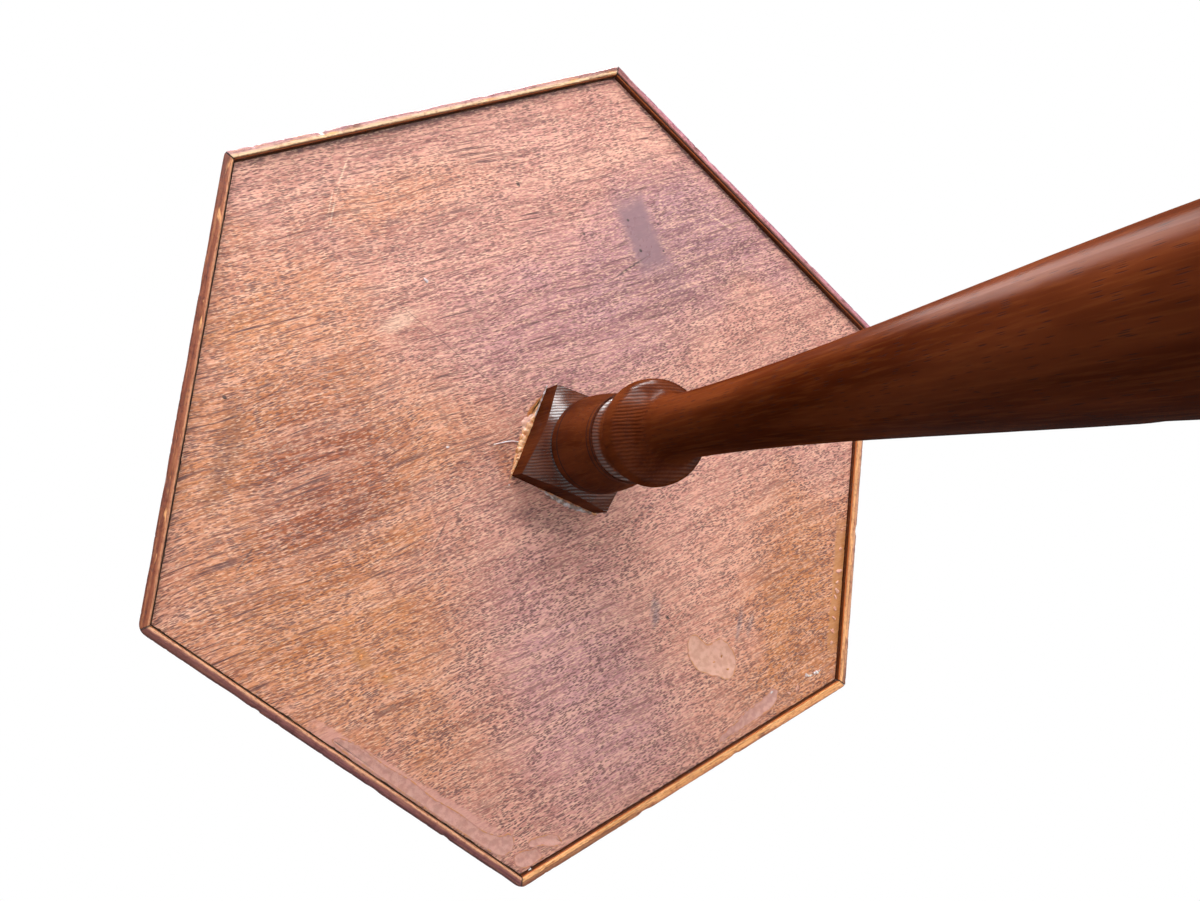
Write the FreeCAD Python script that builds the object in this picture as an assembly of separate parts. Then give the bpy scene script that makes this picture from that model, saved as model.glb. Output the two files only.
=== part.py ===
import FreeCAD, Part
import math
import os

# Hexagonal pedestal table: a fixed veneered top on a turned column with three cabriole legs.
# Millimetres, +Z up, origin on the floor under the column. The top's corners lie at 0, 60, 120 ... degrees.

# ---- overall ----
topHeight = 660.0            # floor to the upper face of the top
topCornerRadius = 250.0      # axis to an outer corner of the edging
legReach = 196.0             # axis to the middle of a foot
hubBottom = 104.0            # floor to the bottom of the column

# ---- top ----
coreThickness = 10.8
veneerThickness = 0.8
stripThickness = 5.0
stripDrop = 4.6              # how far the edging stands below the underside
stripOuterRound = 1.6        # rounding of the edging's outer edges
stripInnerRound = 0.7        # rounding of its worn inner lower edge
shadowGap = 0.7              # gap between the underside veneer and the edging

# ---- column head and neck mouldings: drops are measured down from the underside of the top ----
headSide = 57.0              # square of the blank
headTurn = -15.0             # degrees from +X to the middle of a head face
headCornerDrop = 18.5        # to the shoulder at a corner of the head
shoulderHollow = 2.0         # how far the shoulder sweeps in from a straight cone
shoulderDrop = 31.5          # to the foot of the domed shoulder
shoulderRadius = 24.6
beadDrop = 46.0              # to the widest part of the bead
beadRadius = 27.7
beadUpperBow = 1.1           # how round the bead is above and below its widest part
beadLowerBow = 0.8
beadEndDrop = 78.5
beadEndRadius = 23.8
filletWidth = 5.0            # small ring under the bead
filletRadius = 24.2
quirk = 0.9                  # depth and width of the fine grooves beside the bead and the ring
coveDrop = 93.0
coveRadius = 20.4
bellTopDrop = 102.0
bellTopRadius = 24.6
bellDrop = 108.5             # to the bell's widest part
bellRadius = 27.2
bellBow = 0.9                # rounding of the bell's lip
neckDrop = 138.0             # to the slimmest part of the neck
neckRadius = 15.4

# ---- vase, collar and hub of the column ----
bellyHeight = 213.0          # floor to the widest part of the vase
bellyRadius = 26.4
bellySharpness = 1.17        # how late the vase swells
vaseSpans = 8                # curve points down the vase
waistRadius = 16.5           # above and below the collar
waistHeight = 2.5
collarRadius = 21.5
collarHeight = 9.0
hubTop = 178.0
hubRadius = 27.5
hubRound = 4.0

# ---- legs ----
legThickness = 22.0
legRootHeight = 60.0
legRootRound = 2.0
legFall = 0.45               # share of the pad's height at which the leg's middle line ends in it
# leg sections: share of the way out, share of the fall, slope in degrees, share of the root's height,
# share of the thickness, rounding
legSections = ((0.00, 0.00, 0, 1.00, 1.00, legRootRound), (0.14, 0.00, 4, 0.96, 1.00, 3.0),
               (0.34, 0.12, 33, 0.68, 0.95, 5.0), (0.54, 0.39, 45, 0.52, 0.86, 5.5),
               (0.72, 0.66, 43, 0.42, 0.77, 5.5), (0.88, 0.87, 34, 0.34, 0.73, 5.5),
               (1.00, 0.97, 25, 0.24, 0.62, 5.0))
seatHeadroom = 2.0           # flat cut on the hub above a leg's root
flatMargin = 0.5             # flat on the hub beyond a leg's shoulders
tongueNeck = 11.0
tongueTip = 15.0
tongueDepth = 9.0
jointGap = 0.1
padRadius = 17.0
padHeight = 24.0
padBaseRadius = 13.0
padWaist = 6.5               # floor to the pad's widest part
padCrownBow = 4.6            # how round the pad is above and below its widest part
padEdgeBow = 1.0

# ---- hidden fixings ----
dowelRadius = 8.0
dowelInHead = 20.0
dowelInCore = 7.0
plateThickness = 1.6
plateCentreRadius = 20.0
plateArmWidth = 14.0
plateArmReach = 52.0
screwPitchRadius = 42.0
screwShankRadius = 2.0
screwHeadRadius = 4.0
screwHeadHeight = 1.4
screwPointHeight = 4.0
screwLength = 20.0

# ---- dried glue beside the head: head face, then start and end along it from -1 to 1 ----
glueBeads = ((0, -0.95, 0.45), (3, -0.95, 0.40))
glueWidth = 4.0
glueDrop = 2.6

# ---- worked out from the sizes above ----
mitre = math.tan(math.pi / 6)
zTop = topHeight
zCoreTop = zTop - veneerThickness
zCoreBottom = zCoreTop - coreThickness
zUnder = zCoreBottom - veneerThickness
zStrip = zUnder - stripDrop
sideMiddle = topCornerRadius * math.cos(math.pi / 6)
panelSide = sideMiddle - stripThickness
collarBottom = hubTop + waistHeight
collarTop = collarBottom + collarHeight
waistTop = collarTop + waistHeight
hubFlat = math.sqrt(hubRadius ** 2 - (legThickness / 2 + flatMargin) ** 2)
origin = FreeCAD.Vector(0, 0, 0)
up = FreeCAD.Vector(0, 0, 1)


def point(x, y, z):
    return FreeCAD.Vector(x, y, z)


def onProfile(radius, z):
    return FreeCAD.Vector(radius, 0, z)


def line(a, b):
    return Part.LineSegment(a, b).toShape()


def path(*points):
    return [line(a, b) for a, b in zip(points, points[1:])]


def arc(a, middle, b):
    return Part.Arc(a, middle, b).toShape()


def bowed(a, b, bow):
    """Arc down an outline from a to b, bowed away from the axis."""
    chord = b - a
    outward = point(-chord.z, 0, chord.x).normalize()
    return arc(a, (a + b) * 0.5 + outward * bow, b)


def bezier(*poles):
    curve = Part.BezierCurve()
    curve.setPoles(list(poles))
    return curve.toShape()


def turned(shape, degrees):
    copy = shape.copy()
    copy.rotate(origin, up, degrees)
    return copy


def prism(corners, height):
    """A right prism on a flat outline, drawn upwards."""
    outline = [point(*corner) for corner in corners]
    return Part.Face(Part.makePolygon(outline + outline[:1])).extrude(point(0, 0, height))


def spun(edges):
    return Part.Face(Part.Wire(edges)).revolve(origin, up, 360)


def save(node, shape):
    solids = shape.Solids
    result = solids[0] if len(solids) == 1 else Part.makeCompound(solids)
    result.exportStep("parts/" + node + ".step")
    print(node, len(solids), "solid(s),", round(result.Volume), "mm3, valid", result.isValid())


# ---- top ----
def hexagon(apothem, z, height):
    radius = apothem / math.cos(math.pi / 6)
    angles = [math.radians(60 * k) for k in range(6)]
    return prism([(radius * math.cos(a), radius * math.sin(a), z) for a in angles], height)


def rounded(shape, radius, x, z):
    """Rounds the long edges that run along Y at the given x and z."""
    edges = [e for e in shape.Edges
             if abs(e.CenterOfMass.x - x) < 1e-3 and abs(e.CenterOfMass.z - z) < 1e-3
             and e.BoundBox.YLength > 2 * stripThickness]
    return shape.makeFillet(radius, edges)


def edgeStrip():
    """One mitred strip, its middle on +X."""
    inner, outer = panelSide, sideMiddle
    strip = prism([(inner, -inner * mitre, zStrip), (outer, -outer * mitre, zStrip),
                   (outer, outer * mitre, zStrip), (inner, inner * mitre, zStrip)], zTop - zStrip)
    strip = rounded(strip, stripOuterRound, outer, zTop)
    strip = rounded(strip, stripOuterRound, outer, zStrip)
    return rounded(strip, stripInnerRound, inner, zStrip)


# ---- column ----
def vaseRadius(t):
    """Radius of the vase from the neck, t = 0, to the belly, t = 1."""
    late = t ** bellySharpness
    return neckRadius + (bellyRadius - neckRadius) * late * late * (3 - 2 * late)


def head():
    """The square blank above the turning, cut back to the swept shoulder."""
    half = headSide / 2
    wide = headSide / math.sqrt(2) + 0.01
    corner, foot = onProfile(wide, zUnder - headCornerDrop), onProfile(shoulderRadius, zUnder - shoulderDrop)
    sweep = (corner + foot) * 0.5 + point(0, 0, shoulderHollow)
    around = path(foot, onProfile(0, foot.z), onProfile(0, zUnder), onProfile(wide, zUnder), corner)
    block = Part.makeBox(headSide, headSide, shoulderDrop, point(-half, -half, zUnder - shoulderDrop))
    return turned(block, headTurn).common(spun(around + [arc(corner, sweep, foot)]))


def mouldings():
    """Outline from the foot of the shoulder down to the neck."""
    def at(radius, drop):
        return onProfile(radius, zUnder - drop)

    beadStart, ringTop = shoulderDrop + quirk, beadEndDrop + quirk
    ringEnd = ringTop + filletWidth
    bellFall = neckDrop - bellDrop
    return (path(at(0, shoulderDrop), at(shoulderRadius - quirk, shoulderDrop),
                 at(shoulderRadius - quirk, beadStart), at(shoulderRadius, beadStart))
            + [bowed(at(shoulderRadius, beadStart), at(beadRadius, beadDrop), beadUpperBow),
               bowed(at(beadRadius, beadDrop), at(beadEndRadius, beadEndDrop), beadLowerBow)]
            + path(at(beadEndRadius, beadEndDrop), at(beadEndRadius - quirk, beadEndDrop),
                   at(beadEndRadius - quirk, ringTop), at(filletRadius, ringTop),
                   at(filletRadius, ringEnd), at(filletRadius - quirk, ringEnd))
            + [arc(at(filletRadius - quirk, ringEnd), at(coveRadius, coveDrop),
                   at(bellTopRadius, bellTopDrop)),
               bowed(at(bellTopRadius, bellTopDrop), at(bellRadius, bellDrop), bellBow),
               bezier(at(bellRadius, bellDrop), at(bellRadius, bellDrop + bellFall * 0.5),
                      at(neckRadius, bellDrop + bellFall * 0.35), at(neckRadius, neckDrop))])


def vase():
    """Outline from the neck down the swelling vase and round its foot to the waist."""
    neckHeight = zUnder - neckDrop
    swell = Part.BSplineCurve()
    swell.interpolate([onProfile(vaseRadius(k / vaseSpans),
                                 neckHeight + (bellyHeight - neckHeight) * k / vaseSpans)
                       for k in range(vaseSpans + 1)],
                      InitialTangent=point(0, 0, -1), FinalTangent=point(0, 0, -1))
    foot = bezier(onProfile(bellyRadius, bellyHeight),
                  onProfile(bellyRadius, bellyHeight - (bellyHeight - waistTop) * 0.6),
                  onProfile((waistRadius + bellyRadius) / 2, waistTop), onProfile(waistRadius, waistTop))
    return [swell.toShape(), foot]


def collarAndHub():
    """Outline from the waist under the vase, round the collar and down the hub."""
    collarEdge = waistRadius + quirk
    return (path(onProfile(waistRadius, waistTop), onProfile(waistRadius, collarTop),
                 onProfile(collarEdge, collarTop))
            + [arc(onProfile(collarEdge, collarTop), onProfile(collarRadius, (collarTop + collarBottom) / 2),
                   onProfile(collarEdge, collarBottom))]
            + path(onProfile(collarEdge, collarBottom), onProfile(waistRadius, collarBottom),
                   onProfile(waistRadius, hubTop), onProfile(hubRadius - hubRound, hubTop))
            + [bowed(onProfile(hubRadius - hubRound, hubTop), onProfile(hubRadius, hubTop - hubRound),
                     hubRound * (1 - math.sqrt(0.5)))]
            + path(onProfile(hubRadius, hubTop - hubRound), onProfile(hubRadius, hubBottom),
                   onProfile(0, hubBottom), onProfile(0, zUnder - shoulderDrop)))


def tongue(gap):
    """Dovetail on the leg's inner end, on +X; gap widens it all round to cut its socket."""
    tip, neck = tongueTip / 2 + gap, tongueNeck / 2 + gap
    inner = hubFlat - tongueDepth - gap
    return prism([(inner, -tip, hubBottom), (hubFlat, -neck, hubBottom),
                  (hubFlat, neck, hubBottom), (inner, tip, hubBottom)], legRootHeight + gap)


def legSeat():
    """Cut for one leg on +X: its dovetail socket and the flat that its shoulders meet."""
    wide = legThickness / 2 + jointGap
    flat = prism([(hubFlat, -wide, hubBottom), (hubRadius + 1, -wide, hubBottom),
                  (hubRadius + 1, wide, hubBottom), (hubFlat, wide, hubBottom)], legRootHeight + seatHeadroom)
    return flat.fuse(tongue(jointGap))


# ---- legs ----
def crossSection(radius, z, slope, height, width, corner):
    """A rounded oblong square to the leg's run; slope is its fall in degrees."""
    fall = math.radians(slope)
    along = point(math.cos(fall), 0, -math.sin(fall))
    rise = point(math.sin(fall), 0, math.cos(fall))
    side = along.cross(rise)
    middle = onProfile(radius, z)
    a, b = width / 2, height / 2

    def place(x, y):
        return middle + side * x + rise * y
    near = corner * (1 - math.sqrt(0.5))
    edges = []
    for sx, sy in ((1, 1), (-1, 1), (-1, -1), (1, -1)):
        ends = [place(sx * a, sy * (b - corner)), place(sx * (a - corner), sy * b)]
        if sx != sy:
            ends.reverse()
        edges.append(arc(ends[0], place(sx * (a - near), sy * (b - near)), ends[1]))
    straight = []
    for k, edge in enumerate(edges):
        following = edges[(k + 1) % 4]
        straight.append(line(edge.lastVertex().Point, following.firstVertex().Point))
    return Part.Wire([e for pair in zip(edges, straight) for e in pair])


def leg():
    """A cabriole leg on +X: lofted run, pad foot and dovetail tongue."""
    rootMiddle = hubBottom + legRootHeight / 2
    fall = rootMiddle - padHeight * legFall
    run = legReach - hubFlat
    wires = [crossSection(hubFlat + run * out, rootMiddle - fall * down, slope,
                          legRootHeight * height, legThickness * width, corner)
             for out, down, slope, height, width, corner in legSections]
    body = Part.makeLoft(wires, True, False)
    base, waist, crown = onProfile(padBaseRadius, 0), onProfile(padRadius, padWaist), onProfile(0, padHeight)
    pad = spun([bowed(crown, waist, padCrownBow), bowed(waist, base, padEdgeBow)]
               + path(base, onProfile(0, 0), crown))
    pad.translate(point(legReach, 0, 0))
    return body.fuse(pad).fuse(tongue(0)).removeSplitter()


# ---- hidden fixings ----
def dowel(gap):
    length = dowelInHead + veneerThickness + dowelInCore + 2 * gap
    return Part.makeCylinder(dowelRadius + gap, length, point(0, 0, zUnder - dowelInHead - gap))


def spiderPlate(gap):
    """Three-armed plate let into the underside; gap widens it to cut its recess."""
    plate = Part.makeCylinder(plateCentreRadius + gap, plateThickness, point(0, 0, hubBottom))
    half, reach = plateArmWidth / 2 + gap, plateArmReach + gap
    for degrees in (0, 120, 240):
        arm = prism([(0, -half, hubBottom), (reach, -half, hubBottom),
                     (reach, half, hubBottom), (0, half, hubBottom)], plateThickness)
        plate = plate.fuse(turned(arm, degrees))
    return plate.removeSplitter()


def screw(gap):
    """Countersunk wood screw under the plate, pointing up; gap widens it to cut its hole."""
    shank, wide = screwShankRadius + gap, screwHeadRadius + gap
    tip = hubBottom + screwLength + gap
    neck = hubBottom + screwHeadHeight
    return spun(path(onProfile(0, hubBottom), onProfile(wide, hubBottom), onProfile(shank, neck),
                     onProfile(shank, tip - screwPointHeight), onProfile(0, tip), onProfile(0, hubBottom)))


def screws(gap):
    outer = screw(gap)
    outer.translate(point(screwPitchRadius, 0, 0))
    return [screw(gap)] + [turned(outer, degrees) for degrees in (0, 120, 240)]


def glueBead(face, start, end):
    """Three-cornered bead of dried glue between a head face and the underside."""
    half = headSide / 2
    section = [point(half, half * start, zUnder), point(half + glueWidth, half * start, zUnder),
               point(half, half * start, zUnder - glueDrop)]
    bead = Part.Face(Part.makePolygon(section + section[:1])).extrude(point(0, half * (end - start), 0))
    return turned(bead, headTurn + 90 * face)


os.makedirs("parts", exist_ok=True)

save("core_board", hexagon(panelSide, zCoreBottom, coreThickness).cut(dowel(jointGap)))
save("top_veneer", hexagon(panelSide, zCoreTop, veneerThickness))
save("underside_veneer", hexagon(panelSide - shadowGap, zUnder, veneerThickness).cut(dowel(jointGap)))
strip = edgeStrip()
for number in range(6):
    save("edge_strip_" + str(number + 1), turned(strip, 30 + 60 * number))

column = head().fuse(spun(mouldings() + vase() + collarAndHub())).removeSplitter()
seat = legSeat()
for degrees in (0, 120, 240):
    column = column.cut(turned(seat, degrees))
recess = spiderPlate(jointGap)
column = column.cut(dowel(jointGap)).cut(recess)
cabriole = leg().cut(recess)
for hole in screws(jointGap):
    column = column.cut(hole)
    cabriole = cabriole.cut(hole)
save("column", column)
save("top_dowel", dowel(0))
for number, degrees in enumerate((0, 120, 240)):
    save("leg_" + str(number + 1), turned(cabriole, degrees))

plate = spiderPlate(0)
for hole in screws(jointGap):
    plate = plate.cut(hole)
save("spider_plate", plate)
save("plate_screws", Part.makeCompound(screws(0)))
save("old_glue", Part.makeCompound([glueBead(*bead) for bead in glueBeads]))
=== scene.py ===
import math
import random

import bmesh
import bpy
from mathutils import Matrix, Quaternion, Vector, noise


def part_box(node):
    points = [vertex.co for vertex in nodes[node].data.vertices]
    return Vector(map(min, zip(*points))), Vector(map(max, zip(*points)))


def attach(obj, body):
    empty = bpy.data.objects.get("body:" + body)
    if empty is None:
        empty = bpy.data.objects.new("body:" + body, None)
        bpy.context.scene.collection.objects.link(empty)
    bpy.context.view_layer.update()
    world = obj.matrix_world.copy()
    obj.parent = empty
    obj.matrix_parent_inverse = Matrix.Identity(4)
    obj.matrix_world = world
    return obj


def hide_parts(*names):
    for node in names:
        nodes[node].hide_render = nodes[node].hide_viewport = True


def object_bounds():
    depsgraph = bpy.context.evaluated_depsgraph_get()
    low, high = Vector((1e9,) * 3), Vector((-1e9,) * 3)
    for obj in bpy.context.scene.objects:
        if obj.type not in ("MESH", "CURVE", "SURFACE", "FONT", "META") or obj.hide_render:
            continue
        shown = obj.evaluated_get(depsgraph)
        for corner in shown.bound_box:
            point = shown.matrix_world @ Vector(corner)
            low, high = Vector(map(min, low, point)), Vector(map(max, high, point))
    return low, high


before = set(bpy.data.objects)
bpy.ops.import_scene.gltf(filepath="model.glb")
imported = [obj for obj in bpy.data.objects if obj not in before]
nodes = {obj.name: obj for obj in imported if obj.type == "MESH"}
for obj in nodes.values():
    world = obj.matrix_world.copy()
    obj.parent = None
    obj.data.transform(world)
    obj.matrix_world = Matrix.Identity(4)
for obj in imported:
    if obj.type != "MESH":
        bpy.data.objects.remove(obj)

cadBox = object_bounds()
scene = bpy.context.scene
mm = 0.001


def finishPiece(name, bm, materials, replaces=(), smooth=True):
    bmesh.ops.remove_doubles(bm, verts=bm.verts, dist=0.01 * mm)
    bmesh.ops.recalc_face_normals(bm, faces=bm.faces)
    mesh = bpy.data.meshes.new(name)
    bm.to_mesh(mesh)
    bm.free()
    mesh.polygons.foreach_set("use_smooth", [smooth] * len(mesh.polygons))
    if smooth:
        mesh.set_sharp_from_angle(angle=math.radians(50))
    for finish in materials:
        mesh.materials.append(finish)
    piece = bpy.data.objects.new(name, mesh)
    scene.collection.objects.link(piece)
    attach(piece, "root")
    if replaces:
        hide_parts(*replaces)
    return piece


def dress(name, material):  # gives a CAD node its finish
    slots = nodes[name].data.materials
    slots.clear()
    slots.append(material)


def feed(tree, node, values):
    for socket, value in values.items():
        if isinstance(value, bpy.types.NodeSocket):
            tree.links.new(value, node.inputs[socket])
        else:
            node.inputs[socket].default_value = value
    return node


def addNode(tree, kind, values=None, **settings):
    node = tree.nodes.new("ShaderNode" + kind)
    for name, value in settings.items():
        setattr(node, name, value)
    return feed(tree, node, values or {})


def calc(tree, operation, *values):
    return addNode(tree, "Math", dict(enumerate(values)), operation=operation).outputs[0]


def ramp(tree, value, stops):  # colours at places from 0 to 1
    node = addNode(tree, "ValToRGB", {0: value})
    band = node.color_ramp
    while len(band.elements) < len(stops):
        band.elements.new(0.5)
    for element, (place, colour) in zip(band.elements, stops):
        element.position = place
        element.color = colour
    return node.outputs[0]


def vectorCalc(tree, operation, *values):
    return addNode(tree, "VectorMath", dict(enumerate(values)), operation=operation).outputs[0]


def fade(tree, value, start, end, low=0.0, high=1.0):  # smooth step from start to end
    return addNode(tree, "MapRange", {"Value": value, "From Min": start, "From Max": end, "To Min": low,
                                      "To Max": high}, interpolation_type="SMOOTHSTEP").outputs[0]


def blend(tree, factor, first, second, mode="MIX"):
    return addNode(tree, "Mix", {0: factor, 6: first, 7: second}, data_type="RGBA",
                   blend_type=mode).outputs[2]


def cloud(tree, vector, scale, detail=3.0, roughness=0.55, distortion=0.0):
    node = addNode(tree, "TexNoise", {"Vector": vector, "Scale": scale, "Detail": detail,
                                      "Roughness": roughness, "Distortion": distortion})
    return node.outputs["Fac"]


def turnedPosition(tree, turn=0.0, tilt=0.0):  # place in millimetres, turned about the column
    position = addNode(tree, "TexCoord").outputs["Object"]
    level = addNode(tree, "Mapping", {"Vector": position, "Rotation": (0, 0, -math.radians(turn)),
                                      "Scale": (1000, 1000, 1000)}).outputs[0]
    if not tilt:
        return level
    return addNode(tree, "Mapping",
                   {"Vector": level, "Rotation": (0, -math.radians(tilt), 0)}).outputs[0]


def startGroup(name, inputs, outputs):
    group = bpy.data.node_groups.new(name, "ShaderNodeTree")
    for label, value in inputs.items():
        kind = "NodeSocketFloat" if isinstance(value, (int, float)) else "NodeSocketVector"
        group.interface.new_socket(label, in_out="INPUT", socket_type=kind).default_value = value
    for label in outputs:
        group.interface.new_socket(label, in_out="OUTPUT", socket_type="NodeSocketFloat")
    given = group.nodes.new("NodeGroupInput").outputs
    result = group.nodes.new("NodeGroupOutput").inputs
    return group, given, result


def useGroup(tree, group, **values):
    node = tree.nodes.new("ShaderNodeGroup")
    node.node_tree = group
    return feed(tree, node, values).outputs


def startMaterial(name, **settings):  # settings go on the shader's own sockets
    material = bpy.data.materials.new(name)
    material.use_nodes = True
    tree = material.node_tree
    shader = tree.nodes["Principled BSDF"]
    feed(tree, shader, {label.replace("_", " "): value for label, value in settings.items()})
    return material, tree, shader


def relief(tree, shader, height, strength, distance):  # fine relief through the shader's normal
    bump = addNode(tree, "Bump", {"Height": height, "Strength": strength, "Distance": distance * mm})
    tree.links.new(bump.outputs[0], shader.inputs["Normal"])


def makeFibres():  # long streaks along X
    group, given, result = startGroup("fibres", {"Vector": (0, 0, 0), "Stretch": 12, "Scale": 0.5},
                                      ["Streak"])
    slim = addNode(group, "CombineXYZ",
                   {0: calc(group, "DIVIDE", 1.0, given["Stretch"]), 1: 1.0, 2: 1.0})
    place = vectorCalc(group, "MULTIPLY", given["Vector"], slim.outputs[0])
    group.links.new(cloud(group, place, given["Scale"], 3, 0.55), result["Streak"])
    return group


def makePores():  # short open pores along X
    group, given, result = startGroup("pores", {"Vector": (0, 0, 0), "Length": 5, "Width": 0.7,
                                                "Share": 0.6, "Size": 0.4}, ["Pore"])
    slim = addNode(group, "CombineXYZ", {0: calc(group, "DIVIDE", 1.0, given["Length"]),
                                         1: calc(group, "DIVIDE", 1.0, given["Width"]),
                                         2: calc(group, "DIVIDE", 1.0, given["Width"])})
    place = vectorCalc(group, "MULTIPLY", given["Vector"], slim.outputs[0])
    cells = addNode(group, "TexVoronoi", {"Vector": place, "Scale": 1.0, "Randomness": 1.0})
    pick = addNode(group, "SeparateColor", {0: cells.outputs["Color"]}).outputs[0]
    chosen = calc(group, "LESS_THAN", pick, given["Share"])
    shape = fade(group, cells.outputs["Distance"], given["Size"],
                 calc(group, "MULTIPLY", given["Size"], 0.45))
    group.links.new(calc(group, "MULTIPLY", shape, chosen), result["Pore"])
    return group


def makeSpot():  # one soft or sharp mark at a place, in millimetres
    group, given, result = startGroup("spot", {"Vector": (0, 0, 0), "Wobble": 0, "Centre": (0, 0, 0),
                                               "HalfSize": (1, 1, 1), "Turn": 0, "Soft": 0.3,
                                               "Ragged": 0.1, "Square": 0}, ["Mark"])
    place = vectorCalc(group, "SUBTRACT", given["Vector"], given["Centre"])
    place = addNode(group, "VectorRotate",
                    {"Vector": place, "Angle": calc(group, "MULTIPLY", given["Turn"], -1.0)},
                    rotation_type="Z_AXIS").outputs[0]
    place = vectorCalc(group, "DIVIDE", place, given["HalfSize"])
    place = vectorCalc(group, "MULTIPLY", place, (1, 1, 0))
    parts = addNode(group, "SeparateXYZ", {0: vectorCalc(group, "ABSOLUTE", place)}).outputs
    boxed = calc(group, "MAXIMUM", parts[0], parts[1])
    rounded = addNode(group, "VectorMath", {0: place}, operation="LENGTH").outputs["Value"]
    reach = addNode(group, "Mix", {0: given["Square"], 2: rounded, 3: boxed}).outputs[0]
    reach = calc(group, "MULTIPLY_ADD", given["Wobble"], given["Ragged"], reach)
    mark = fade(group, reach, calc(group, "ADD", 1.0, given["Soft"]),
                calc(group, "SUBTRACT", 1.0, given["Soft"]))
    group.links.new(mark, result["Mark"])
    return group


def makeLayers():  # growth layers across X, seen as fine ridges on cut end grain
    group, given, result = startGroup("layers", {"Vector": (0, 0, 0), "Spacing": 1.8, "Wobble": 0.6},
                                      ["Layer"])
    drift = calc(group, "MULTIPLY",
                 calc(group, "SUBTRACT", cloud(group, given["Vector"], 0.09, 2), 0.5),
                 calc(group, "MULTIPLY", given["Wobble"], 4.0))
    across = calc(group, "ADD", addNode(group, "SeparateXYZ", {0: given["Vector"]}).outputs[0], drift)
    phase = calc(group, "MULTIPLY", calc(group, "DIVIDE", across, given["Spacing"]), 2 * math.pi)
    wave = calc(group, "MULTIPLY_ADD", calc(group, "SINE", phase), 0.5, 0.5)
    group.links.new(wave, result["Layer"])
    return group


fibres, pores, spot, layers = makeFibres(), makePores(), makeSpot(), makeLayers()

paint = {
    "orange": (0.47, 0.165, 0.045, 1),
    "amber": (0.383, 0.165, 0.0462, 1),
    "golden": (0.50, 0.19, 0.060, 1),
    "pink": (0.475, 0.238, 0.198, 1),
    "rose": (0.481, 0.231, 0.191, 1),
    "mauve": (0.37, 0.175, 0.202, 1),
    "lilac": (0.46, 0.238, 0.255, 1),
    "blush": (0.64, 0.315, 0.255, 1),
    "plum": (0.179, 0.0924, 0.109, 1),
    "rust": (0.33, 0.0986, 0.033, 1),
    "russet": (0.27, 0.062, 0.014, 1),
    "brown": (0.224, 0.0792, 0.033, 1),
    "umber": (0.075, 0.0338, 0.0338, 1),
    "slate": (0.15, 0.143, 0.165, 1),
    "pale": (0.69, 0.48, 0.345, 1),
    "black": (0.015, 0.009, 0.009, 1),
}

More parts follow.
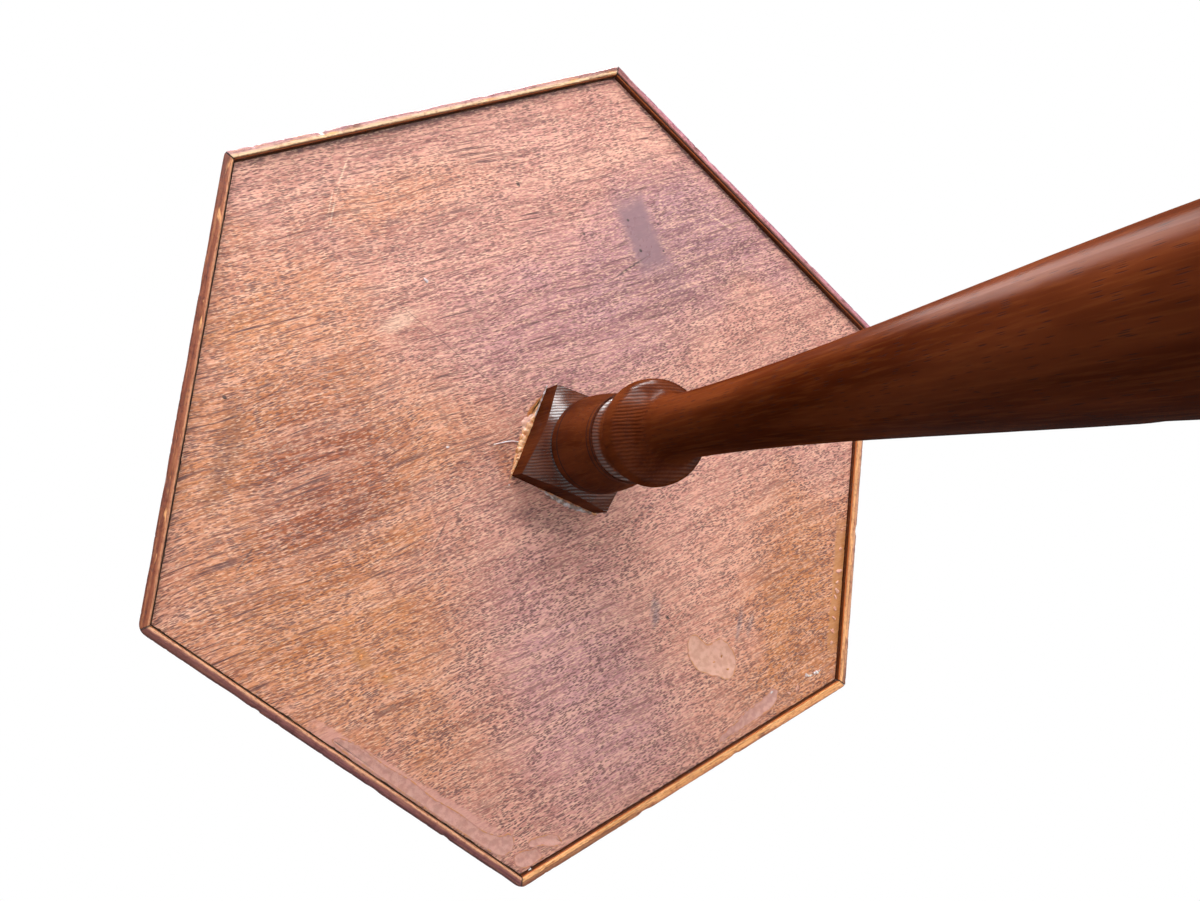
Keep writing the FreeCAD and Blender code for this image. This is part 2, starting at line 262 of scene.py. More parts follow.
underside = {
    "grain": 121,  # direction of the grain
    # the veneer's own colour, given extra blue as a painted lavender sheen
    "groundWithSheen": (0.495, 0.228, 0.179, 1),
    "band": (0.647, 0.363, 0.264, 1),
    "shade": (0.56, 0.42, 0.42, 1),
    "fleckAndGlint": (0.66, 0.422, 0.29, 1),
    # light flecks in the wood, partly painted glints
    "pore": (0.09, 0.0338, 0.0338, 1),
    "fleckAndGlintStrength": 0.5,
    "dashStrength": 0.95,
    "poreStrength": 0.92,
    "drift": 9,  # how far the grain wanders, in millimetres
    # streaks: stretch, scale, strength of the light and of the dark ones
    "streaks": ((22.0, 0.10, 0.34, 0.42), (10.0, 0.38, 0.42, 0.55), (5.0, 1.1, 0.5, 0.6)),
    "ragged": 0.55,  # how far splinters and chips move the border, in millimetres
    "steps": 170,  # border points along a side
    # broad patches of tone under the grain, partly the wood's own and partly painted light: blush
    # lightens the left side, mauve and lilac are partly painted lavender sheen: paint, centre, half
    # length and width, turn, strength
    "tintsAndPaintedLight": (
        ("golden", 105, -125, 130, 75, 40, 1.0),
        ("rust", 112, -125, 60, 38, 62, 0.5),
        ("golden", -185, 10, 75, 85, 60, 1.0),
        ("golden", 75, -50, 75, 30, 120, 0.6),
        ("golden", -10, -160, 80, 40, 0, 0.6),
        ("golden", 165, 60, 60, 14, 120, 0.5),
        ("orange", -185, 25, 60, 45, 60, 0.5),
        ("lilac", -95, -110, 75, 55, 20, 0.75),
        ("blush", -110, 5, 60, 45, 60, 0.6),
        ("blush", -160, -50, 40, 30, 60, 0.4),
        ("mauve", 30, 152, 80, 40, 120, 1.0),
        ("mauve", 30, 70, 80, 30, 110, 0.35),
        ("mauve", -10, 195, 60, 14, 0, 0.6),
        ("mauve", 50, 60, 80, 45, 120, 0.6),
        ("rose", 130, 110, 50, 30, 120, 0.5),
        ("rust", 100, -95, 36, 26, 80, 0.85),
        ("russet", 100, -102, 46, 36, 70, 0.9),
        ("plum", 20, 148, 56, 38, 110, 0.35),
        ("russet", 115, -118, 45, 12, 62, 0.5),
    ),
    # marks: paint, centre, half length and width, turn, softness, raggedness, squareness,
    # strength, share of the pores hidden
    "marks": (
        ("rust", 27, -31, 12, 6, 35, 0.6, 0.6, 0, 0.60, 0),  # stains that ran out beside the block
        ("rust", 84, -58, 9, 4, 75, 0.6, 0.7, 0, 0.60, 0),
        ("rust", 88, -92, 22, 5, 75, 0.7, 0.7, 0, 0.35, 0),
        ("brown", 146, -128, 26, 6, 68, 0.5, 0.6, 0, 0.60, 0),
        ("brown", 158, -106, 12, 5, 60, 0.5, 0.6, 0, 0.45, 0),
        # partly painted shade below the block, partly a stain
        ("umber", -8, -44, 26, 7, 160, 0.7, 0.5, 0, 0.35, 0),
        ("plum", 46, 142.5, 23, 10.5, 28, 0.35, 0.25, 1, 0.95, 0.95),  # ghost of a lost plate
        ("plum", 20, 140, 22, 7, 28, 0.6, 0.5, 0, 0.30, 0),
        ("pale", 125, -7, 11, 4, 110, 0.5, 0.7, 0, 0.45, 0.3),
        ("amber", 27, -166, 6, 4, 20, 0.4, 0.8, 0, 0.50, 0.5),
        ("amber", 9, -167, 5, 3, 20, 0.4, 0.8, 0, 0.50, 0.5),
        ("pink", -35, -206, 60, 5.0, -3, 0.2, 0.4, 1, 0.75, 0.85),  # glue wiped along three sides
        ("amber", -209.5, 51.7, 42, 4.6, 60, 0.2, 0.4, 1, 0.70, 0.9),
        ("pink", -148, -172, 17, 4, -50, 0.3, 0.5, 1, 0.60, 0.7),
        ("umber", 0, 210.5, 118, 1.6, 0, 0.4, 1.3, 1, 0.85, 0),  # painted shade along the torn border, beside the gap to the edging
        ("umber", 183, 105, 100, 2.2, 120, 0.5, 1.2, 1, 0.85, 0),
        ("slate", -160, -15, 11, 1.6, 65, 0.6, 0.9, 0, 0.55, 0),
        ("slate", -166, -8, 7, 1.4, 70, 0.6, 0.9, 0, 0.45, 0),
        ("slate", -106, -44, 7, 2.6, 60, 0.6, 1.0, 0, 0.60, 0),
        ("slate", -101, -41, 6, 1.5, 65, 0.6, 1.0, 0, 0.50, 0),
        ("umber", 89, 0.2, 54, 0.35, 0, 0.6, 0.1, 0, 0.55, 0),  # pencil line
        ("black", 39.2, 118, 14, 0.55, 107, 0.6, 0.3, 0, 0.85, 0),  # split, painted black as the shade inside it
        ("pale", 190.5, 15, 8, 0.5, 62, 0.6, 0.4, 0, 0.75, 0),  # scratches
        ("pale", 195, 19, 7, 0.4, 62, 0.6, 0.4, 0, 0.60, 0),
        ("pale", 201, 37, 7, 0.5, 70, 0.6, 0.4, 0, 0.75, 0),
        ("pale", 9, 191.5, 10, 0.6, 166, 0.6, 0.4, 0, 0.60, 0),
        ("umber", 33, -88, 8, 0.5, 80, 0.6, 0.3, 0, 0.70, 0),
        ("umber", 107, -160, 7, 0.5, 85, 0.6, 0.3, 0, 0.80, 0),
        ("black", 58.5, 143, 1.0, 0.8, 0, 0.3, 0.1, 0, 0.9, 0),  # pin holes, painted black as the shade inside them
        ("black", 40, 133.5, 1.2, 0.9, 0, 0.3, 0.1, 0, 0.9, 0),
        ("black", 74.8, 114, 1.0, 0.8, 0, 0.3, 0.1, 0, 0.9, 0),
        ("black", 41.5, 156.5, 0.8, 0.7, 0, 0.3, 0.1, 0, 0.8, 0),
        ("black", 28, 145, 0.8, 0.7, 0, 0.3, 0.1, 0, 0.8, 0),
        ("black", 124.7, 107.7, 1.8, 1.0, 20, 0.3, 0.2, 0, 0.95, 0),
        ("black", -114, -41, 1.2, 1.0, 0, 0.3, 0.1, 0, 0.95, 0),
        ("black", 167.7, -101, 1.3, 0.9, 0, 0.3, 0.1, 0, 0.95, 0),
    ),
}


def undersideFinish():
    material, tree, shader = startMaterial("undersideVeneer", IOR=1.45, Coat_Weight=0.10,
                                           Coat_Roughness=0.3)
    place = turnedPosition(tree)
    drift = addNode(tree, "TexNoise", {"Vector": place, "Scale": 0.012, "Detail": 2.0}).outputs["Color"]
    drift = vectorCalc(tree, "MULTIPLY", vectorCalc(tree, "SUBTRACT", drift, (0.5, 0.5, 0.5)),
                       (underside["drift"], underside["drift"], 0))
    grainTurn = (0, 0, -math.radians(underside["grain"]))
    drifted = vectorCalc(tree, "ADD", place, drift)
    along = addNode(tree, "Mapping", {"Vector": drifted, "Rotation": grainTurn}).outputs[0]
    wobble = calc(tree, "MULTIPLY_ADD", cloud(tree, place, 0.16, 4, 0.65), 2.0, -1.0)
    patches = calc(tree, "MULTIPLY_ADD", cloud(tree, along, 0.03, 4, 0.6), 3.0, -1.5)
    colour = underside["groundWithSheen"]
    # the wood's own tones mixed with painted light and painted sheen
    for name, x, y, length, width, turn, strength in underside["tintsAndPaintedLight"]:
        mark = useGroup(tree, spot, Vector=place, Wobble=patches, Centre=(x, y, 0),
                        HalfSize=(length, width, 1), Turn=math.radians(turn), Soft=0.7,
                        Ragged=0.5)["Mark"]
        colour = blend(tree, calc(tree, "MULTIPLY", mark, strength), colour, paint[name])
    for stretch, scale, light, shade in underside["streaks"]:
        streak = useGroup(tree, fibres, Vector=along, Stretch=stretch, Scale=scale)["Streak"]
        colour = blend(tree, fade(tree, streak, 0.50, 0.68, 0.0, light), colour, underside["band"])
        colour = blend(tree, fade(tree, streak, 0.50, 0.32, 0.0, shade), colour, underside["shade"],
                       "MULTIPLY")
    hidden = 0.0
    for name, x, y, length, width, turn, soft, ragged, square, strength, cover in underside["marks"]:
        mark = useGroup(tree, spot, Vector=place, Wobble=wobble, Centre=(x, y, 0),
                        HalfSize=(length, width, 1), Turn=math.radians(turn), Soft=soft,
                        Ragged=ragged, Square=square)["Mark"]
        colour = blend(tree, calc(tree, "MULTIPLY", mark, strength), colour, paint[name])
        if cover:
            hidden = calc(tree, "MAXIMUM", hidden, calc(tree, "MULTIPLY", mark, cover))
    shown = calc(tree, "SUBTRACT", 1.0, hidden)
    clusters = cloud(tree, along, 0.045, 4, 0.6)
    side = fade(tree, addNode(tree, "SeparateXYZ", {0: place}).outputs[0], -90.0, 110.0)
    lines = useGroup(tree, fibres, Vector=along, Stretch=26.0, Scale=0.7)["Streak"]
    lines = calc(tree, "MULTIPLY", fade(tree, lines, 0.44, 0.36),
                 fade(tree, clusters, 0.40, 0.60, 0.25, 1.0))
    lines = calc(tree, "MULTIPLY", lines, fade(tree, side, 0.0, 1.0, 0.6, 1.0))
    dashes = useGroup(tree, pores, Vector=along, Length=2.7, Width=1.0, Share=0.85, Size=0.55)["Pore"]
    shifted = vectorCalc(tree, "ADD", along, (31, 17, 7))
    specks = useGroup(tree, pores, Vector=shifted, Length=5.5, Width=0.85, Share=0.6, Size=0.52)["Pore"]
    dashes = calc(tree, "MAXIMUM",
                  calc(tree, "MULTIPLY", dashes, fade(tree, side, 0.2, 0.9, 1.0, 0.75)), specks)
    dashes = calc(tree, "MULTIPLY", dashes, fade(tree, clusters, 0.68, 0.42, 0.45, 1.0))
    shifted = vectorCalc(tree, "ADD", along, (-53, 29, 13))
    # light flecks in the wood, partly painted glints on the relief
    fleckAndGlint = useGroup(tree, pores, Vector=shifted, Length=3.4, Width=1.0, Share=0.7, Size=0.52)["Pore"]
    fleckAndGlint = calc(tree, "MULTIPLY", fleckAndGlint, shown)
    colour = blend(tree, calc(tree, "MULTIPLY", fleckAndGlint, underside["fleckAndGlintStrength"]), colour,
                   underside["fleckAndGlint"])
    dark = calc(tree, "MAXIMUM", calc(tree, "MULTIPLY", dashes, underside["dashStrength"]), lines)
    dark = calc(tree, "MULTIPLY", dark, shown)
    colour = blend(tree, calc(tree, "MULTIPLY", dark, underside["poreStrength"]), colour,
                   underside["pore"])
    tree.links.new(colour, shader.inputs["Base Color"])
    rough = calc(tree, "MULTIPLY_ADD", hidden, -0.22, fade(tree, clusters, 0.3, 0.7, 0.44, 0.62))
    tree.links.new(rough, shader.inputs["Roughness"])
    height = calc(tree, "SUBTRACT", calc(tree, "MULTIPLY", fleckAndGlint, 0.6), dark)
    relief(tree, shader, height, 0.8, 0.3)
    return material


def makeUnderside():
    low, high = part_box("underside_veneer")
    bm = bmesh.new()
    bmesh.ops.create_circle(bm, segments=6, radius=high.x,
                            matrix=Matrix.Rotation(math.radians(30), 4, "Z"))
    bmesh.ops.subdivide_edges(bm, edges=bm.edges[:], cuts=underside["steps"])
    for vert in bm.verts:  # chips and splinters, finer than the gap to the edging
        torn = noise.noise(vert.co * 90) * 0.6 + noise.noise(vert.co * 700) * 1.0
        vert.co *= 1 - max(0.0, torn) * underside["ragged"] * mm / vert.co.length
    rim = bm.edges[:]
    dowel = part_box("top_dowel")
    hole = bmesh.ops.create_circle(bm, segments=48, radius=dowel[1].x * 1.01)
    inner = {edge for vert in hole["verts"] for edge in vert.link_edges}
    bmesh.ops.triangle_fill(bm, edges=rim + list(inner), use_beauty=True)
    bmesh.ops.translate(bm, verts=bm.verts, vec=(0, 0, low.z))
    grown = bmesh.ops.extrude_face_region(bm, geom=bm.faces[:])
    bmesh.ops.translate(bm, verts=[v for v in grown["geom"] if isinstance(v, bmesh.types.BMVert)],
                        vec=(0, 0, high.z - low.z))
    return finishPiece("undersideVeneer", bm, [undersideFinish()],
                       ["underside_veneer"], False)


edging = {
    "outerArris": {1: 1.4, 2: 0.9, 3: 0.7, 4: 0.6, 5: 1.4, 6: 1.4},
    "innerArris": 0.7,
    "steps": 230,  # points along a strip
    "chip": {1: 0.9, 2: 0.6, 3: 0.4, 4: 0.4, 5: 0.9, 6: 0.8},  # deepest wear of the outer arris
    "polish": (0.23, 0.07, 0.035, 1),
    "polishDark": (0.11, 0.032, 0.022, 1),
    # colours of the inner face beside the gap: painted shade, dark deep in, lighter at the lower face
    "shadedWall": ((0.07, 0.017, 0.005, 1), (0.44, 0.12, 0.03, 1)),
    # across the lower face: distance from the inner arris and colour; the dark first stops of strips 1
    # and 2 are painted shade from the gap at the inner arris
    "across": {
        1: ((0.0, (0.10, 0.035, 0.020, 1)), (0.5, (0.22, 0.11, 0.055, 1)), (1.1, (0.66, 0.49, 0.29, 1)),
            (1.9, (0.60, 0.40, 0.27, 1)), (2.9, (0.46, 0.26, 0.24, 1)), (3.7, (0.31, 0.15, 0.16, 1)),
            (4.6, (0.22, 0.09, 0.10, 1))),
        2: ((0.0, (0.03, 0.008, 0.005, 1)), (0.8, (0.07, 0.020, 0.012, 1)),
            (1.5, (0.25, 0.09, 0.075, 1)), (2.3, (0.40, 0.165, 0.18, 1)), (3.2, (0.41, 0.17, 0.20, 1)),
            (4.2, (0.33, 0.14, 0.19, 1)), (4.8, (0.20, 0.07, 0.09, 1))),
        3: ((0.0, (0.38, 0.15, 0.06, 1)), (0.6, (0.52, 0.25, 0.11, 1)), (1.5, (0.64, 0.32, 0.13, 1)),
            (2.3, (0.40, 0.18, 0.09, 1)), (3.0, (0.56, 0.28, 0.14, 1)), (4.0, (0.42, 0.22, 0.15, 1)),
            (4.8, (0.20, 0.08, 0.06, 1))),
        4: ((0.0, (0.44, 0.17, 0.05, 1)), (0.6, (0.66, 0.36, 0.15, 1)), (1.2, (0.50, 0.21, 0.065, 1)),
            (1.8, (0.66, 0.33, 0.13, 1)), (2.3, (0.50, 0.21, 0.07, 1)), (2.9, (0.66, 0.33, 0.13, 1)),
            (3.6, (0.50, 0.21, 0.09, 1)), (4.6, (0.34, 0.13, 0.06, 1))),
        5: ((0.0, (0.30, 0.15, 0.08, 1)), (0.25, (0.56, 0.30, 0.17, 1)), (1.0, (0.50, 0.25, 0.14, 1)),
            (1.4, (0.22, 0.085, 0.065, 1)), (2.4, (0.15, 0.05, 0.05, 1)),
            (3.4, (0.13, 0.042, 0.042, 1)), (4.8, (0.07, 0.02, 0.02, 1))),
        6: ((0.0, (0.34, 0.16, 0.08, 1)), (0.25, (0.48, 0.23, 0.13, 1)), (0.8, (0.42, 0.18, 0.09, 1)),
            (1.3, (0.27, 0.085, 0.04, 1)), (2.4, (0.17, 0.042, 0.018, 1)),
            (3.4, (0.20, 0.055, 0.025, 1)), (4.8, (0.14, 0.035, 0.018, 1))),
    },
    "dirt": (0.60, 0.45, 0.50, 1),
    "dirtStrength": 0.75,
    "polishStrength": 0.72,  # old polish left on the lower face
    "raw": (0.702, 0.351, 0.148, 1),
    "rawStreak": {1: 0.3, 2: 0.0, 3: 0.3, 4: 0.65, 5: 0.1, 6: 0.15},  # thin worn lines
    # threshold of bare wood: a higher one leaves less of it
    "bareShare": {1: 0.60, 2: 0.72, 3: 0.57, 4: 0.55, 5: 0.68, 6: 0.61},
    # radius of the corner at a strip's first end
    "blunt": {1: 4.0, 2: 2.5, 3: 2.0, 4: 3.0, 5: 8.0, 6: 8.0},
    "gap": {1: 0.5, 2: 0.25, 3: 0.2, 4: 0.6, 5: 0.1, 6: 0.1},  # opening of the mitre there
    # from clean to dark along a strip's outer half
    "darkOuter": {1: (60, 130), 2: (-80, -125), 3: (98, 125), 4: (25, 65), 5: (0, 130), 6: (90, 125)},
    "nicks": {1: ((-72, 4, 1.5), (-110, 3, 0.8), (30, 5, 0.6)), 2: ((-40, 7, 0.5), (60, 6, 0.4)),
              3: ((20, 8, 0.6), (-60, 5, 0.5)), 4: ((40, 9, 0.6), (-30, 6, 0.5)),
              5: ((-70, 6, 0.9), (-20, 9, 0.7), (55, 5, 0.9)), 6: ((-50, 6, 0.7), (50, 10, 0.6))},
}


def edgingFinish(number):
    material, tree, shader = startMaterial("edging%d" % number, IOR=1.45, Specular_IOR_Level=0.3,
                                           Coat_Weight=0.06, Coat_Roughness=0.22)
    # this strip lies square to the axes, its outer face at the lowest y
    low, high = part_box("edge_strip_5")
    thick = (high.y - low.y) / mm
    place = turnedPosition(tree, 60 * number - 30)
    x, y, z = addNode(tree, "SeparateXYZ", {0: place}).outputs
    fromInner = calc(tree, "ADD", x, high.y / mm)
    fromLow = calc(tree, "SUBTRACT", z, low.z / mm)
    run = addNode(tree, "Mapping", {"Vector": place, "Rotation": (0, 0, math.radians(90))}).outputs[0]
    streak = useGroup(tree, fibres, Vector=run, Stretch=14.0, Scale=0.9)["Streak"]
    pore = useGroup(tree, pores, Vector=run, Length=3.5, Width=0.5, Share=0.4, Size=0.45)["Pore"]
    coarse = calc(tree, "MULTIPLY_ADD",
                  useGroup(tree, fibres, Vector=run, Stretch=4.0, Scale=0.16)["Streak"],
                  1.5, -0.75)
    shift = calc(tree, "ADD", coarse, calc(tree, "MULTIPLY_ADD", cloud(tree, run, 0.7, 2), 0.8, -0.4))
    across = calc(tree, "DIVIDE", calc(tree, "ADD", fromInner, shift), thick)
    stops = [(distance / thick, colour) for distance, colour in edging["across"][number]]
    colour = ramp(tree, across, stops)
    colour = blend(tree, fade(tree, streak, 0.50, 0.36, 0.0, 0.55), colour, underside["shade"],
                   "MULTIPLY")
    dirt = fade(tree, cloud(tree, run, 0.22, 4, 0.65), 0.52, 0.66, 0.0, edging["dirtStrength"])
    colour = blend(tree, dirt, colour, edging["dirt"], "MULTIPLY")
    patch = useGroup(tree, fibres, Vector=run, Stretch=6.0, Scale=0.22)["Streak"]
    limit = edging["bareShare"][number]
    bare = calc(tree, "MULTIPLY", fade(tree, patch, limit, limit + 0.05),
                fade(tree, fromInner, 3.4, 2.4))
    colour = blend(tree, calc(tree, "MULTIPLY", bare, 0.8), colour, edging["raw"])
    colour = blend(tree, fade(tree, streak, 0.54, 0.66, 0.0, edging["rawStreak"][number]), colour,
                   edging["raw"])
    worn = calc(tree, "MULTIPLY", fade(tree, cloud(tree, run, 0.045, 3, 0.6), 0.54, 0.64),
                fade(tree, calc(tree, "ADD", fromInner, shift), 1.7, 2.5))
    stained = calc(tree, "MULTIPLY", fade(tree, y, *edging["darkOuter"][number]),
                   fade(tree, calc(tree, "ADD", fromInner, shift), 1.6, 2.3))
    worn = calc(tree, "MAXIMUM", worn, stained)
    colour = blend(tree, calc(tree, "MULTIPLY", worn, edging["polishStrength"]), colour,
                   edging["polishDark"])
    polish = blend(tree, fade(tree, streak, 0.35, 0.65), edging["polishDark"], edging["polish"])
    lower = fade(tree, fromLow, 1.9, 1.0)
    colour = blend(tree, lower, polish, colour)
    # painted shade on the inner face beside the gap: darker deeper in, lighter toward the lower face
    shadedWall = calc(tree, "MULTIPLY", fade(tree, fromInner, 0.7, 0.3), fade(tree, fromLow, 0.5, 0.9))
    shade = blend(tree, fade(tree, fromLow, 2.4, 1.4), *edging["shadedWall"])
    colour = blend(tree, shadedWall, colour, shade)
    colour = blend(tree, calc(tree, "MULTIPLY", pore, 0.5), colour, paint["umber"])
    half = high.x / mm
    joint = calc(tree, "SUBTRACT", calc(tree, "ABSOLUTE", y),
                 calc(tree, "MULTIPLY_ADD", fromInner, 0.577, half - 2.9))
    colour = blend(tree, fade(tree, joint, -0.9, -0.1, 0.0, 0.85), colour, paint["black"])
    tree.links.new(colour, shader.inputs["Base Color"])
    tree.links.new(fade(tree, calc(tree, "MULTIPLY", lower, streak), 0.0, 0.6, 0.3, 0.6),
                   shader.inputs["Roughness"])
    height = calc(tree, "SUBTRACT", calc(tree, "MULTIPLY", streak, 0.7), calc(tree, "ADD", bare, pore))
    relief(tree, shader, height, 0.7, 0.2)
    return material


def makeStrip(number):
    low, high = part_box("edge_strip_5")
    inner, outer, half = -high.y, -low.y, high.x
    bm = bmesh.new()
    size = Matrix.Diagonal((outer - inner, 2 * half, high.z - low.z, 1))
    middle = Matrix.Translation(((inner + outer) / 2, 0, (low.z + high.z) / 2))
    bmesh.ops.create_cube(bm, size=1, matrix=middle @ size)
    lengthways = [edge for edge in bm.edges if abs(edge.verts[0].co.y - edge.verts[1].co.y) > half]
    bmesh.ops.subdivide_edges(bm, edges=lengthways, cuts=edging["steps"], use_grid_fill=True)

    def arris(x, z):
        return [edge for edge in bm.edges if all(abs(v.co.x - x) < 1e-5 and abs(v.co.z - z) < 1e-5
                                                 for v in edge.verts)]
    worn = edging["outerArris"][number]
    for x, z, width, segments in ((outer, low.z, worn, 5), (outer, high.z, worn, 4),
                                  (inner, low.z, edging["innerArris"], 3)):
        bmesh.ops.bevel(bm, geom=arris(x, z), offset=width * mm, segments=segments, profile=0.5,
                        affect="EDGES", material=-1)
    ends = {1: edging["blunt"][number % 6 + 1], -1: edging["blunt"][number]}
    for vert in bm.verts:
        run, seed = vert.co.y / mm, number * 37.0
        deep = max(0.0, noise.noise(Vector((run * 0.05, seed, 0)))) * edging["chip"][number]
        deep += max(0.0, noise.noise(Vector((run * 0.4, seed, 3))) - 0.15) * edging["chip"][number]
        for place, width, depth in edging["nicks"][number]:
            deep += depth * max(0.0, 1 - ((run - place) / (width / 2)) ** 2)
        near = 1 - min(1.0, ((outer - vert.co.x) + (vert.co.z - low.z)) / (2.6 * mm))
        if near > 0:  # worn outer arris
            vert.co.x -= deep * near * mm
            vert.co.z += 0.8 * deep * near * mm
        near = 1 - min(1.0, ((vert.co.x - inner) + (vert.co.z - low.z)) / (1.6 * mm))
        if near > 0:  # worn inner arris
            vert.co.z += near * 0.7 * max(0.0, noise.noise(Vector((run * 0.3, seed, 9)))) * mm
        radius = ends[1 if run > 0 else -1] * mm
        past = abs(vert.co.y) - (half - radius * math.tan(math.radians(30)))
        if past > 0:  # blunt corner
            limit = outer - radius + math.sqrt(max(0.0, radius * radius - past * past))
            vert.co.x = min(vert.co.x, limit)
    for end, gap in ((1, edging["gap"][number % 6 + 1]), (-1, edging["gap"][number])):
        across = Vector((-0.5, end * math.cos(math.radians(30)), 0))
        cut = bmesh.ops.bisect_plane(bm, geom=bm.verts[:] + bm.edges[:] + bm.faces[:], dist=1e-7,
                                     plane_co=-across * gap / 2 * mm, plane_no=across, clear_outer=True)
        rim = [edge for edge in cut["geom_cut"] if isinstance(edge, bmesh.types.BMEdge)]
        bmesh.ops.holes_fill(bm, edges=rim, sides=0)
    bmesh.ops.rotate(bm, verts=bm.verts, cent=(0, 0, 0),
                     matrix=Matrix.Rotation(math.radians(60 * number - 30), 3, "Z"))
    return finishPiece("edgeStrip%d" % number, bm, [edgingFinish(number)],
                       ["edge_strip_%d" % number])


mahogany = {
    "deep": (0.034, 0.0050, 0.0008, 1),
    "warm": (0.088, 0.019, 0.0052, 1),
    "glow": (0.17, 0.050, 0.013, 1),
    "grooves": (31.5, 47.0, 78.5, 83.5, 102.0),  # depths below the top where dirt and polish gather; the dark lines painted there are dirt and painted shade
    # depth, reach and weight of polish
    "thickPolish": ((20.0, 22.0, 1.0), (84.0, 8.0, 1.0), (112.0, 14.0, 0.16)),
    "layerTurn": 51.5,  # direction across the growth layers
    "layerSpacing": 1.8,
    "legTilt": 50,  # slope of the grain in a leg
    "shaftCoat": 0.03,
    "headCoat": 0.09,
    "coatChange": (112.0, 98.0),  # depths between which the one turns into the other
}


def mahoganyFinish(name, turn, tilt=0.0, endGrain=True):
    material, tree, shader = startMaterial(name, IOR=1.45, Specular_IOR_Level=0.0, Coat_Roughness=0.22,
                                           Coat_IOR=1.6)
    place = turnedPosition(tree, turn, tilt)
    grain = addNode(tree, "Mapping", {"Vector": place, "Rotation": (0, math.radians(90), 0)}).outputs[0]
    broad = useGroup(tree, fibres, Vector=grain, Stretch=7.0, Scale=0.06)["Streak"]
    streak = useGroup(tree, fibres, Vector=grain, Stretch=22.0, Scale=0.8)["Streak"]
    pore = useGroup(tree, pores, Vector=grain, Length=7.0, Width=0.5, Share=0.3, Size=0.42)["Pore"]
    colour = blend(tree, fade(tree, broad, 0.3, 0.7), mahogany["deep"], mahogany["warm"])
    colour = blend(tree, fade(tree, streak, 0.45, 0.7, 0.0, 0.16), colour, mahogany["glow"])
    colour = blend(tree, calc(tree, "MULTIPLY", pore, 0.6), colour, paint["black"])
    height = calc(tree, "MULTIPLY", pore, -0.15)
    coat = mahogany["shaftCoat"]
    if endGrain:
        layer = useGroup(tree, layers, Vector=place, Spacing=mahogany["layerSpacing"],
                         Wobble=0.5)["Layer"]
        facing = addNode(tree, "TexCoord").outputs["Normal"]
        slope = calc(tree, "ABSOLUTE", addNode(tree, "SeparateXYZ", {0: facing}).outputs[2])
        cut = fade(tree, slope, 0.15, 0.55)
        lines = calc(tree, "MULTIPLY", cut, layer)
        colour = blend(tree, calc(tree, "MULTIPLY", lines, 0.4), colour, mahogany["deep"])
        height = calc(tree, "ADD", height, lines)
        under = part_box("underside_veneer")[0].z / mm
        depth = calc(tree, "SUBTRACT", under, addNode(tree, "SeparateXYZ", {0: place}).outputs[2])
        # dark lines at these depths: dirt and painted shade in the hollows of the turning
        for groove in mahogany["grooves"]:
            near = fade(tree, calc(tree, "ABSOLUTE", calc(tree, "SUBTRACT", depth, groove)), 1.3, 0.2)
            colour = blend(tree, calc(tree, "MULTIPLY", near, 0.8), colour, paint["black"])
        thick = 0.0
        for level, reach, weight in mahogany["thickPolish"]:
            near = calc(tree, "ABSOLUTE", calc(tree, "SUBTRACT", depth, level))
            thick = calc(tree, "MAXIMUM", thick, fade(tree, near, reach, 0.7 * reach, 0.0, weight))
        thick = calc(tree, "MULTIPLY", thick, fade(tree, slope, 0.2, 0.5))
        ridges = calc(tree, "MULTIPLY_ADD", layer, -0.8, 1.0)
        coat = fade(tree, depth, *mahogany["coatChange"], coat, mahogany["headCoat"])
        coat = calc(tree, "MAXIMUM", coat, calc(tree, "MULTIPLY", thick, ridges))
        tree.links.new(coat, shader.inputs["Coat Weight"])
    else:
        feed(tree, shader, {"Coat Weight": coat})
    tree.links.new(colour, shader.inputs["Base Color"])
    tree.links.new(fade(tree, broad, 0.3, 0.7, 0.42, 0.5), shader.inputs["Roughness"])
    relief(tree, shader, height, 0.9, 0.4)
    return material


topVeneer = {
    "dark": (0.11, 0.03, 0.012, 1),
    "light": (0.24, 0.075, 0.028, 1),
    "streak": (0.34, 0.12, 0.045, 1),
    "pore": (0.03, 0.01, 0.006, 1),
}


def topFinish():
    material, tree, shader = startMaterial("polishedTop", Roughness=0.28, IOR=1.45, Coat_Weight=0.5,
                                           Coat_Roughness=0.12)
    along = turnedPosition(tree, underside["grain"])
    broad = useGroup(tree, fibres, Vector=along, Stretch=6.0, Scale=0.03)["Streak"]
    streak = useGroup(tree, fibres, Vector=along, Stretch=14.0, Scale=0.6)["Streak"]
    pore = useGroup(tree, pores, Vector=along, Length=4.5, Width=0.6, Share=0.4, Size=0.4)["Pore"]
    colour = blend(tree, fade(tree, broad, 0.3, 0.7), topVeneer["dark"], topVeneer["light"])
    colour = blend(tree, fade(tree, streak, 0.42, 0.65, 0.0, 0.5), colour, topVeneer["streak"])
    colour = blend(tree, calc(tree, "MULTIPLY", pore, 0.7), colour, topVeneer["pore"])
    tree.links.new(colour, shader.inputs["Base Color"])
    tree.links.new(fade(tree, cloud(tree, along, 0.03, 4), 0.3, 0.7, 0.22, 0.36),
                   shader.inputs["Roughness"])
    relief(tree, shader, calc(tree, "MULTIPLY", pore, -1.0), 0.1, 0.1)
    return material


plainWood = {  # light and dark colour, direction of the grain
    "core": ((0.10, 0.05, 0.025, 1), (0.03, 0.014, 0.008, 1), 31),
    "dowel": ((0.62, 0.42, 0.24, 1), (0.5, 0.31, 0.16, 1), 0),
}


